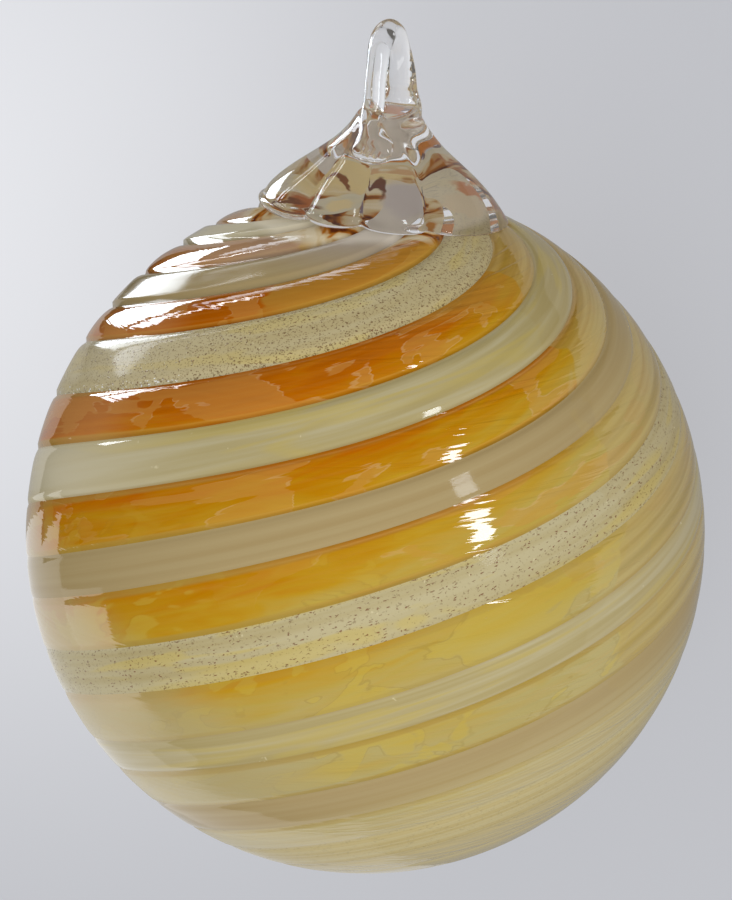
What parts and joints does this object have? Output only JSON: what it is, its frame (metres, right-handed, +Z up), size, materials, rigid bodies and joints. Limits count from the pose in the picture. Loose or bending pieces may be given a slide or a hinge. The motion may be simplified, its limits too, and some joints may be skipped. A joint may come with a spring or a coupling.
{
  "type": "glass orb ornament",
  "caption": "Blown glass ball with helical amber, tan, speckled and pale bands and a clear glass cone drawn into a hanging loop, lying on a small flat spot.",
  "frame": {"origin": "middle of the small flat spot that the ball lies on", "axes": "+X along the ornament's axis towards the hanging loop, +Z up, away from the flat spot; the loop's eye opens along Y"},
  "size_m": [0.1079, 0.0849, 0.0845],
  "materials": {
    "striped_glass": "glossy blown glass with helical bands of amber, tan, speckled cream and pale streaky glass",
    "clear_glass": "clear colourless glass, fire-polished"
  },
  "bodies": {
    "root": {"orb": "striped_glass", "hanger": "clear_glass"}
  },
  "joints": []
}
